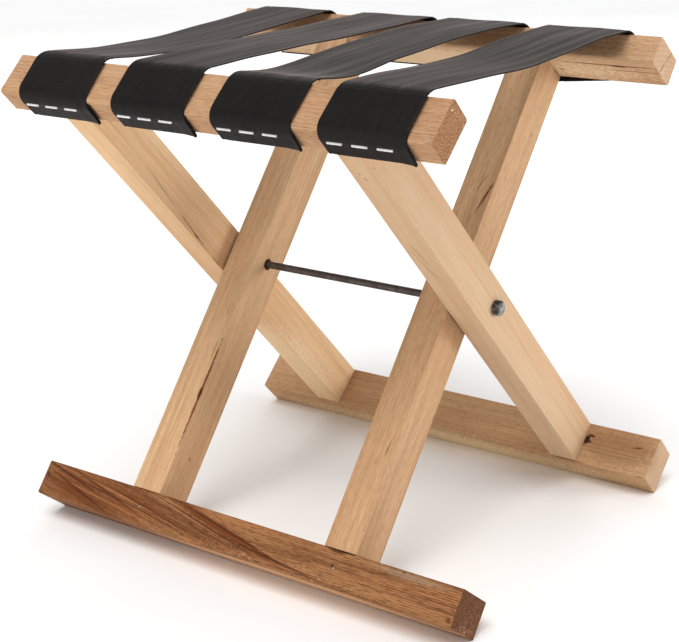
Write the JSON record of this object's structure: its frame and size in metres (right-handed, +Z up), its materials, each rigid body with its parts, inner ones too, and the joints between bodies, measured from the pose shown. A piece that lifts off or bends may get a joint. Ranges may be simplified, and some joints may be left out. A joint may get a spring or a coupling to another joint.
{
  "type": "folding luggage rack",
  "caption": "Folding luggage rack: two crossed wooden frames turn on a steel rod, joined across the top by sagging webbing straps that are stapled to the top rails.",
  "frame": {"origin": "on the floor, below the rod, midway along it", "axes": "+X along the rails to the right, +Y from the front rails to the back rails, +Z up"},
  "size_m": [0.44, 0.3863, 0.4192],
  "materials": {
    "front_top_rail_wood": "bare planed wood, reddish",
    "back_top_rail_wood": "bare planed wood",
    "back_bottom_rail_wood": "bare planed wood, mid brown",
    "front_bottom_rail_wood": "bare wood, dark brown with strong grain",
    "outer_leg_wood": "bare planed pale wood",
    "inner_leg_wood": "bare planed tan wood",
    "webbing": "ribbed black synthetic webbing",
    "staple_wire": "bright galvanised wire",
    "rod_steel": "dark oxide steel",
    "washer_steel": "plain steel",
    "brad_steel": "dull steel"
  },
  "bodies": {
    "outer_frame": {"front_top_rail": "front_top_rail_wood", "back_bottom_rail": "back_bottom_rail_wood", "outer_leg_left": "outer_leg_wood", "outer_top_brad_left": "brad_steel", "outer_bottom_brad_left": "brad_steel", "outer_leg_right": "outer_leg_wood", "outer_top_brad_right": "brad_steel", "outer_bottom_brad_right": "brad_steel", "staple_front_1_1": "staple_wire", "staple_front_1_2": "staple_wire", "staple_front_1_3": "staple_wire", "staple_front_2_1": "staple_wire", "staple_front_2_2": "staple_wire", "staple_front_2_3": "staple_wire", "staple_front_3_1": "staple_wire", "staple_front_3_2": "staple_wire", "staple_front_3_3": "staple_wire", "staple_front_4_1": "staple_wire", "staple_front_4_2": "staple_wire", "staple_front_4_3": "staple_wire", "pivot_rod": "rod_steel", "rod_cap_left": "rod_steel", "rod_cap_right": "rod_steel", "leg_washer_left": "washer_steel", "leg_washer_right": "washer_steel", "strap_1": "webbing", "strap_2": "webbing", "strap_3": "webbing", "strap_4": "webbing"},
    "inner_frame": {"back_top_rail": "back_top_rail_wood", "front_bottom_rail": "front_bottom_rail_wood", "inner_leg_left": "inner_leg_wood", "inner_top_brad_left": "brad_steel", "inner_bottom_brad_left": "brad_steel", "inner_leg_right": "inner_leg_wood", "inner_top_brad_right": "brad_steel", "inner_bottom_brad_right": "brad_steel", "staple_back_1_1": "staple_wire", "staple_back_1_2": "staple_wire", "staple_back_1_3": "staple_wire", "staple_back_2_1": "staple_wire", "staple_back_2_2": "staple_wire", "staple_back_2_3": "staple_wire", "staple_back_3_1": "staple_wire", "staple_back_3_2": "staple_wire", "staple_back_3_3": "staple_wire", "staple_back_4_1": "staple_wire", "staple_back_4_2": "staple_wire", "staple_back_4_3": "staple_wire"}
  },
  "joints": [
    {"name": "fold", "type": "hinge", "parent": "outer_frame", "child": "inner_frame", "pos_m": [0, 0, 0.2128], "axis": [1, 0, 0], "range_deg": [0, 71], "deforming": ["strap_1", "strap_2", "strap_3", "strap_4"]}
  ]
}
